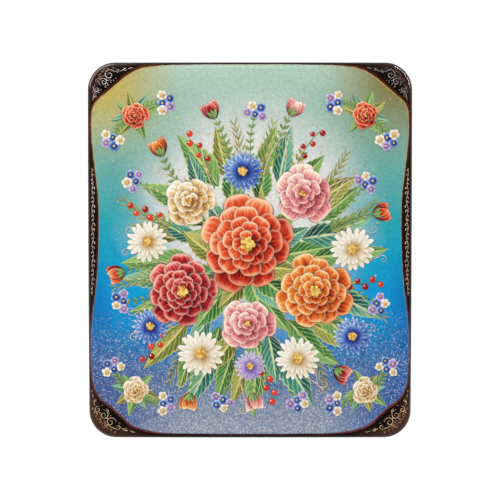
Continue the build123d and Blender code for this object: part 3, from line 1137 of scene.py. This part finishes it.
# Name, count, oval and lengths in mm, width over length, height in the stack, and the first leaf's angle
FANS = [
    ("leaves_outer", 26, (31, 36), (19, 27), 0.40, 0.11 * MM, 4),
    ("leaves_between", 22, (23, 27), (17, 23), 0.44, 0.13 * MM, 12),
    ("leaves_inner", 18, (13, 15), (15, 19), 0.50, 0.15 * MM, 21),
    ("leaves_heart", 12, (3, 4), (14, 18), 0.55, 0.17 * MM, 30),
]
for name, count, oval, lengths, ratio, lift, first in FANS:
    leaf_fan(count, oval, lengths, ratio, lift, first)
    join_on_lid(name, lift)

# %% [markdown]
# ## Stems
# Between the leaves, light sprigs reach out over the ground. Each has a stem that bends steadily, which a
# heading that turns a little at every step gives. The end of the stem is what matters to the eye, so a
# stem is drawn from the origin first and then moved to end where it should.

# %% Stems
SPRIG_LIFT = 0.16 * MM
STEM_LENGTH = 24 * MM


def stem_points(place, heading, length, bend, steps=8):
    """Points and headings along a stem that bends steadily."""
    points = []
    for _ in range(steps + 1):
        points.append((*place, heading))
        heading += bend / steps
        place = away(place, length / steps, heading)
    return points


def stem_to(end_x, end_y, bend):
    """Points and headings along a bent stem that comes from the heart of the bouquet and ends at a place."""
    heading = math.atan2(end_y - BOUQUET_MIDDLE[1], end_x - BOUQUET_MIDDLE[0]) - bend / 2
    points = stem_points((0, 0), heading, STEM_LENGTH, bend)
    across, up = end_x - points[-1][0], end_y - points[-1][1]
    return [(x + across, y + up, turn) for x, y, turn in points]


def tapered(points, start, end):
    """A stroke along points whose pressure eases off."""
    last = len(points) - 1
    return [(x, y, start + (end - start) * i / last) for i, (x, y, *_) in enumerate(points)]


print("points on a stem:", len(stem_to(0, STEM_LENGTH, 0.5)))

# %% [markdown]
# ## What a stem carries
# A sprig is a stem with leaflets along it and something at its end: forget-me-nots, berries, a bud, or
# blades of grass. The stems are brush lines, the rest are stamps.

# %% Kinds of sprig
LEAFLET_RATIO = 0.42
FIRST_REACH, FLOWER_REACH = 0.4 * MM, 3.1 * MM
BERRY_REACH = 1.3 * MM
BUD_TURNS = (-0.42, 0.42, -0.2, 0.2, 0.0)
SEPAL_TURNS = (-0.5, 0.5, 0.0)
BLADE_TURNS = (-0.45, 0.45)


def leaflets(points, paint, size, lift):
    """Small leaves on both sides of a stem."""
    for number, (x, y, heading) in enumerate(points[2:-1]):
        for side in (-1, 1):
            turn = heading + side * rng.uniform(0.6, 0.9)
            length = size * rng.uniform(0.75, 1.0) * (1 - 0.07 * number)
            stamp("leaflet", paint, (x, y), turn, length, LEAFLET_RATIO * length, lift, number)


def small_flower(place, radius, paint, lift):
    """A five-petalled flower with a gold eye."""
    turn = rng.uniform(0, 2 * math.pi)
    bloom(place, radius, "round", paint, 5, 0.8 * math.pi, (0.08, 0.08), (0.92, 0.92), 0.95, lift, turn)
    stamp_drop(GOLD_DROP, place, 0.22 * radius, lift, 6, 0.6)


def forget_me_nots(points, lift, paints=(BLUE, LILAC, BLUE, CREAM, LILAC)):
    """A loose head of small flowers at the end of a stem."""
    leaflets(points, GREEN, 3.4 * MM, lift)
    x, y, heading = points[-1]
    for number, paint in enumerate(paints):
        at = away((x, y), FLOWER_REACH if number else FIRST_REACH, heading + (number - 2.5) * 1.15)
        small_flower(at, rng.uniform(1.7, 2.3) * MM, paint, lift + (12 + 8 * number) * NEXT_STROKE)


def berries(points, lift):
    """Red berries with a point of light, on both sides of a stem."""
    leaflets(points[:6], OLIVE, 3.8 * MM, lift)
    for number, (x, y, heading) in enumerate(points[4:]):
        side = 1 if number % 2 else -1
        at = away((x, y), side * BERRY_REACH, heading + math.pi / 2)
        size = rng.uniform(1.05, 1.35) * MM
        stamp_drop(RED_DROP, at, size, lift, 10)
        glint = (at[0] - 0.35 * size, at[1] + 0.35 * size)
        stamp_drop(WHITE_DROP, glint, 0.22 * size, lift + 0.07 * size, 10, 1.0)


def bud(points, lift, paint):
    """A half-open bud with green sepals."""
    leaflets(points, GREEN, 4.4 * MM, lift)
    x, y, heading = points[-1]
    for number, turn in enumerate(BUD_TURNS):
        length = (8.0 - 0.3 * number) * MM
        stamp("pointed", paint, (x, y), heading + turn, length, 0.5 * length, lift, 10 + number)
    for number, turn in enumerate(SEPAL_TURNS):
        stamp("leaflet", GREEN, (x, y), heading + turn, 3.8 * MM, 1.6 * MM, lift, 18 + number)


def grass(points, lift):
    """A feather of fine blades."""
    for number, (x, y, heading) in enumerate(points[1:]):
        length = (7.5 - 0.5 * number) * MM
        for turn in BLADE_TURNS:
            stamp("touch", OLIVE, (x, y), heading + turn, length, 0.14 * length, lift, number)


print("leaflets are", LEAFLET_RATIO, "of their length wide")

# %% [markdown]
# ## Sprigs
# Thirty sprigs stand round the bouquet. Their ends are given one by one, between the blooms and out over the
# ground. Each sprig becomes one piece, and its stem is kept for later, to be drawn with all the others.

# %% Sprigs
# Kind, the place of the stem's end in mm, its bend, and a bud's paint
SPRIGS = [
    (bud, -14, 53, 0.5, CRIMSON), (forget_me_nots, 2, 55, -0.4), (bud, 16, 54, -0.5, ROSE),
    (berries, -25, 46, 0.6), (berries, 28, 48, -0.6), (grass, -6, 50, 0.3),
    (grass, 9, 50, -0.3), (grass, 38, 38, 0.5), (bud, -35, 38, -0.5, ORANGE),
    (forget_me_nots, 46, 27, 0.6), (bud, 49, 15, -0.5, CORAL), (grass, 50, 19, 0.4),
    (forget_me_nots, -46, 28, 0.5), (grass, -50, 20, -0.4), (berries, -48, 17, 0.5),
    (berries, 52, -12, 0.6), (forget_me_nots, 51, -21, -0.5), (grass, 53, -26, -0.4),
    (bud, -50, -8, 0.6, CORAL), (forget_me_nots, -51, -20, -0.5), (grass, -53, -14, 0.4),
    (berries, -42, -44, 0.6), (bud, -24, -57, 0.5, ORANGE), (forget_me_nots, -11, -60, -0.4),
    (bud, 1, -57, 0.3, ROSE), (berries, 10, -60, 0.5), (forget_me_nots, 19, -60, 0.5),
    (grass, 30, -53, -0.5), (grass, -32, -51, 0.5), (bud, 34, -47, 0.5, CRIMSON),
]
stem_strokes = []
for number, (kind, x, y, bend, *paint) in enumerate(SPRIGS, start=1):
    points = stem_to(x * MM, y * MM, bend)
    stem_strokes.append(tapered(points, 1.0, 0.4))
    kind(points, SPRIG_LIFT, *paint)
    join_on_lid(f"sprig_{number:02d}", SPRIG_LIFT)

# %% [markdown]
# ## Corner sprays
# A small spray lies loose in each corner of the field and fills it out: a little rose on a ring of leaves,
# with forget-me-nots to either side. It is the bouquet in small, made by the same helpers. All stems are
# then drawn as one piece.

# %% Corner sprays
SPRAY_TURNS = (-1.9, -1.1, -0.4, 0.4, 1.1, 1.9, 2.9)
SPRAY_STEM = 13 * MM
SPRAY_ROSE = 6.0 * MM
STEM_WIDTH = 0.55 * MM
# Name, place in mm, heading in degrees and the rose's paint
SPRAYS = [
    ("spray_back_left", -46, 54, 125, CORAL), ("spray_back_right", 46, 54, 55, CORAL),
    ("spray_front_left", -46, -56, 235, BUTTER), ("spray_front_right", 46, -56, 305, BUTTER),
]


def corner_spray(place, heading, paint):
    """A little rose with leaves and small flowers that point along a heading."""
    for number, turn in enumerate(SPRAY_TURNS):
        length = rng.uniform(8.5, 11) * MM
        blank = "leaf" if number % 2 else "leaf_left"
        green = (GREEN, TEAL, OLIVE)[number % 3]
        stamp(blank, green, place, heading + turn, length, 0.42 * length, SPRIG_LIFT, number)
    for side in (-1, 1):
        points = stem_points(place, heading + side * 1.25, SPRAY_STEM, side * 0.9)
        stem_strokes.append(tapered(points, 0.9, 0.4))
        forget_me_nots(points, SPRIG_LIFT + 0.03 * MM, (BLUE, CREAM, LILAC, BLUE, CREAM))
    flower("rose", place, SPRAY_ROSE, paint, SPRIG_LIFT + 0.18 * MM)


for name, x, y, heading, paint in SPRAYS:
    corner_spray((x * MM, y * MM), math.radians(heading), paint)
    join_on_lid(name, SPRIG_LIFT)
stems = brush_lines("stems", stem_strokes, STEM_WIDTH, SPRIG_LIFT - 0.03 * MM)
finish_piece(stems, STEM_PAINT)

# %% [markdown]
# ## Gold tendrils
# Last come the touches of gold that catch the light. Fine tendrils curl out between the sprigs: brush
# lines that end in the scrolls' own curl.

# %% Tendrils
TENDRIL_WIDTH = 0.34 * MM
TENDRIL_COUNT = 22
TENDRIL_OVAL = (33, 38)
TENDRIL_BEND = -0.5


def tendril(place, heading, length, radius, sense):
    """A stroke that runs out along a heading and winds up."""
    points = [(x, y) for x, y, _ in stem_points(place, heading, length, sense * TENDRIL_BEND, 6)]
    start = heading + sense * (TENDRIL_BEND - math.pi / 2)
    middle = away(points[-1], -radius, start)
    return tapered(points + winding(middle, start, sense, 1.2, radius, 0.2 * radius, 14)[1:], 1.0, 0.35)


tendrils = []
for number in range(TENDRIL_COUNT):
    angle = 2 * math.pi * number / TENDRIL_COUNT + rng.uniform(-0.08, 0.08)
    sense = 1 if number % 2 else -1
    length = rng.uniform(16, 21) * MM
    tendrils.append(tendril(on_oval(angle, TENDRIL_OVAL), angle, length, rng.uniform(1.6, 2.4) * MM, sense))
finish_piece(brush_lines("gold_tendrils", tendrils, TENDRIL_WIDTH, SPRIG_LIFT), gold_paint)

# %% [markdown]
# ## Gold dust
# A painter flicks a loaded brush to strew fine drops of gold. They gather round the glow, so a bell curve
# gives their places, and those that would land past the field are left out. The blanks have now served
# and are removed.

# %% Gold dust
DUST_COUNT = 220
DUST_LIFT = 0.1 * MM
DUST_HALF_WIDTH, DUST_HALF_DEPTH = 57 * MM, 62 * MM

while len(stamps) < DUST_COUNT:
    x, y = rng.gauss(0, 30) * MM, rng.gauss(22, 28) * MM
    if abs(x) <= DUST_HALF_WIDTH and abs(y) <= DUST_HALF_DEPTH:
        stamp_drop(GOLD_DROP, (x, y), rng.uniform(0.16, 0.38) * MM, DUST_LIFT)
join_on_lid("gold_dust", DUST_LIFT)
for blank in BLANKS.values():
    bpy.data.objects.remove(blank)

# %% [markdown]
# ## Light table
# The box lies on a light table of opal acrylic, whose even glow keeps the white clean round it. Black
# lacquer mirrors whatever it faces, and so much white would turn the sides grey. So the sheet is hidden
# from reflections, and they see a dimmer pool of light just below it: soft grey beside the box, nearly
# black a hand's breadth away, and a wide bright ring half a metre out. From above, the sides fade from
# grey at the foot to black at the top, and a low view finds the ring as a sheen along their middle. The
# sheet turns up far behind, so that a low view still has white behind it.

# %% Light table
TABLE_GLOW = 1.0
TABLE_WIDTH = 12
COVE_HEIGHT = 1.3
TABLE_BELOW, POOL_BELOW = 0.2 * MM, 2 * MM
POOL_GLOW = 1.5
POOL_REACH = 1.6
POOL_TONES = [
    (0.0, "#949494"), (0.06, "#7c7c7c"), (0.125, "#484848"), (0.22, "#9c9c9c"), (0.375, "#e7e7e7"),
    (0.62, "#b6b6b6"), (1.0, "#000000"),
]


def opal_acrylic():
    """Opal acrylic lit from below: an even white with a faint cloudiness."""
    paint = new_material("opal_acrylic")
    place = add(paint, "TexCoord").outputs["Object"]
    cloud = add(paint, "TexNoise", place, Scale=per_mm(160), Detail=3.0)
    tone = add(paint, "ValToRGB", cloud, stops=[(0.3, "#4c4c4c"), (0.7, "#545454")])
    glow = {"Emission_Color": "#ffffff", "Emission_Strength": TABLE_GLOW}
    return surface(paint, Base_Color=tone, Roughness=0.6, **glow)


def pool_of_light():
    """The lamp under the table, as the lacquer sees it: its tones follow the distance from the box."""
    paint = new_material("lamp_pool")
    place = add(paint, "TexCoord").outputs["Object"]
    out = add(paint, "MapRange", distance_from_outline(paint, place), 0.0, -POOL_REACH)
    glow = add(paint, "ValToRGB", out, stops=POOL_TONES)
    return surface(paint, Base_Color="#000000", Emission_Color=glow, Emission_Strength=POOL_GLOW)


FLOORS = [("light_table", TABLE_BELOW, opal_acrylic()), ("lamp_pool", POOL_BELOW, pool_of_light())]
for name, depth, paint in FLOORS:
    start_clean()
    bpy.ops.mesh.primitive_plane_add(size=TABLE_WIDTH)
    floor = bpy.context.object
    floor.name = name
    bpy.ops.object.mode_set(mode="EDIT")
    bpy.ops.transform.translate(value=(0, 0, -depth))
    if name == "light_table":
        bpy.ops.mesh.select_mode(type="EDGE")
        bpy.ops.mesh.extrude_edges_move(TRANSFORM_OT_translate={"value": (0, 0, COVE_HEIGHT)})
    bpy.ops.object.mode_set(mode="OBJECT")
    floor.data.materials.append(paint)
    floor.visible_glossy = name == "lamp_pool"
    print("floor:", floor.name, len(floor.data.polygons), "faces")

# %% [markdown]
# ## Light
# A window behind on the left and two fills in front light the picture evenly. A light can be hidden from
# reflections, so these leave no glare in the lacquer from any side. Only a thin strip, low behind on the
# right, is mirrored: it draws a fine bright line on the rounded edge of the lid. The surround is dim, so
# that black is black.

# %% Light
# Name, place, size, power, colour and whether the lacquer mirrors it
SOFT_BOXES = [
    ("window", (-0.55, 0.66, 0.76), (0.8, 0.75), 10.0, "#fff6f0", False),
    ("right_strip", (0.8, 0.62, 0.21), (0.9, 0.02), 5.0, "#ffffff", True),
    ("left_fill", (-0.8, -0.7, 1.1), (0.6, 0.6), 7.3, "#ffffff", False),
    ("right_fill", (0.8, -0.7, 1.1), (0.6, 0.6), 7.3, "#ffffff", False),
]
SURROUND = 0.06

for name, place, (width, height), power, colour, mirrored in SOFT_BOXES:
    data = bpy.data.lights.new(name, "AREA")
    data.shape = "RECTANGLE"
    data.size, data.size_y = width, height
    data.energy = power
    data.color = linear(colour)[:3]
    light = bpy.data.objects.new(name, data)
    light.location = place
    light.rotation_euler = Vector(place).to_track_quat("Z", "Y").to_euler()
    light.visible_glossy = mirrored
    bpy.context.scene.collection.objects.link(light)
world = bpy.data.worlds.new("surround")
world.use_nodes = True
world.node_tree.nodes["Background"].inputs["Color"].default_value = (SURROUND, SURROUND, SURROUND, 1)
bpy.context.scene.world = world
bpy.context.scene.view_settings.view_transform = "Standard"
print("lights:", ", ".join(name for name, *_ in SOFT_BOXES))

# %% [markdown]
# ## Paper screen
# Photographers bend a sheet of paper round a glossy thing, for it to mirror. This one stands behind on
# the left, bright at its foot and fading upwards, and gives the lid's round a soft band on that corner.
# It is cut from an open tube, its right end is softened, and only reflections see it.

# %% Paper screen
SCREEN_RADIUS = 1.0
SCREEN_HEIGHT = 1.0
SCREEN_FACES = 120
SCREEN_FROM, SCREEN_TO = math.radians(97), math.radians(165)
SCREEN_GLOW = 8.5
SCREEN_FADE = [(0.04, "#000000"), (0.085, "#fff2ea"), (0.2, "#e4d6cd"), (0.3, "#4e4945"), (1.0, "#000000")]
SOFT_END = (-0.15, -0.25)


def lit_paper():
    """White paper lit from its foot: a glow that fades upwards and towards its right end."""
    paint = new_material("lit_paper")
    _, x, _, z = object_place(paint)
    glow = add(paint, "ValToRGB", add(paint, "MapRange", z, 0.0, SCREEN_HEIGHT), stops=SCREEN_FADE)
    soft = add(paint, "VectorMath SCALE", glow, add(paint, "MapRange", x, *SOFT_END))
    return surface(paint, Base_Color="#000000", Emission_Color=soft, Emission_Strength=SCREEN_GLOW)


start_clean()
bpy.ops.mesh.primitive_cylinder_add(
    vertices=SCREEN_FACES, radius=SCREEN_RADIUS, depth=SCREEN_HEIGHT, end_fill_type="NOTHING"
)
screen = bpy.context.object
screen.name = "paper_screen"
bpy.ops.object.mode_set(mode="EDIT")
bpy.ops.transform.translate(value=(0, 0, SCREEN_HEIGHT / 2))
bpy.ops.mesh.select_all(action="DESELECT")
bpy.ops.object.mode_set(mode="OBJECT")
for face in screen.data.polygons:
    face.select = not SCREEN_FROM < math.atan2(face.center.y, face.center.x) < SCREEN_TO
bpy.ops.object.mode_set(mode="EDIT")
bpy.ops.mesh.delete(type="FACE")
bpy.ops.object.mode_set(mode="OBJECT")
screen.data.materials.append(lit_paper())
screen.visible_camera = screen.visible_diffuse = screen.visible_shadow = False
print("screen:", len(screen.data.polygons), "faces")

# %% [markdown]
# ## Camera
# The picture is taken from nearly straight above, at arm's length and a little behind the middle: the
# lid's back edge comes out a hundredth wider than its front edge, which a tilt of two degrees gives.

# %% Camera
CAMERA_DISTANCE = 474 * MM
CAMERA_TILT = math.radians(2.04)
AIM = Vector((0, 0.3 * MM, 40 * MM))
LENS = 84.4
SENSOR = 36

camera_data = bpy.data.cameras.new("camera")
camera_data.lens = LENS
camera_data.sensor_width = SENSOR
camera = bpy.data.objects.new("camera", camera_data)
camera.rotation_euler = (-CAMERA_TILT, 0, 0)
camera.location = AIM + CAMERA_DISTANCE * Vector((0, math.sin(CAMERA_TILT), math.cos(CAMERA_TILT)))
bpy.context.scene.collection.objects.link(camera)
bpy.context.scene.camera = camera
print("camera height in m:", round(camera.location.z, 3))
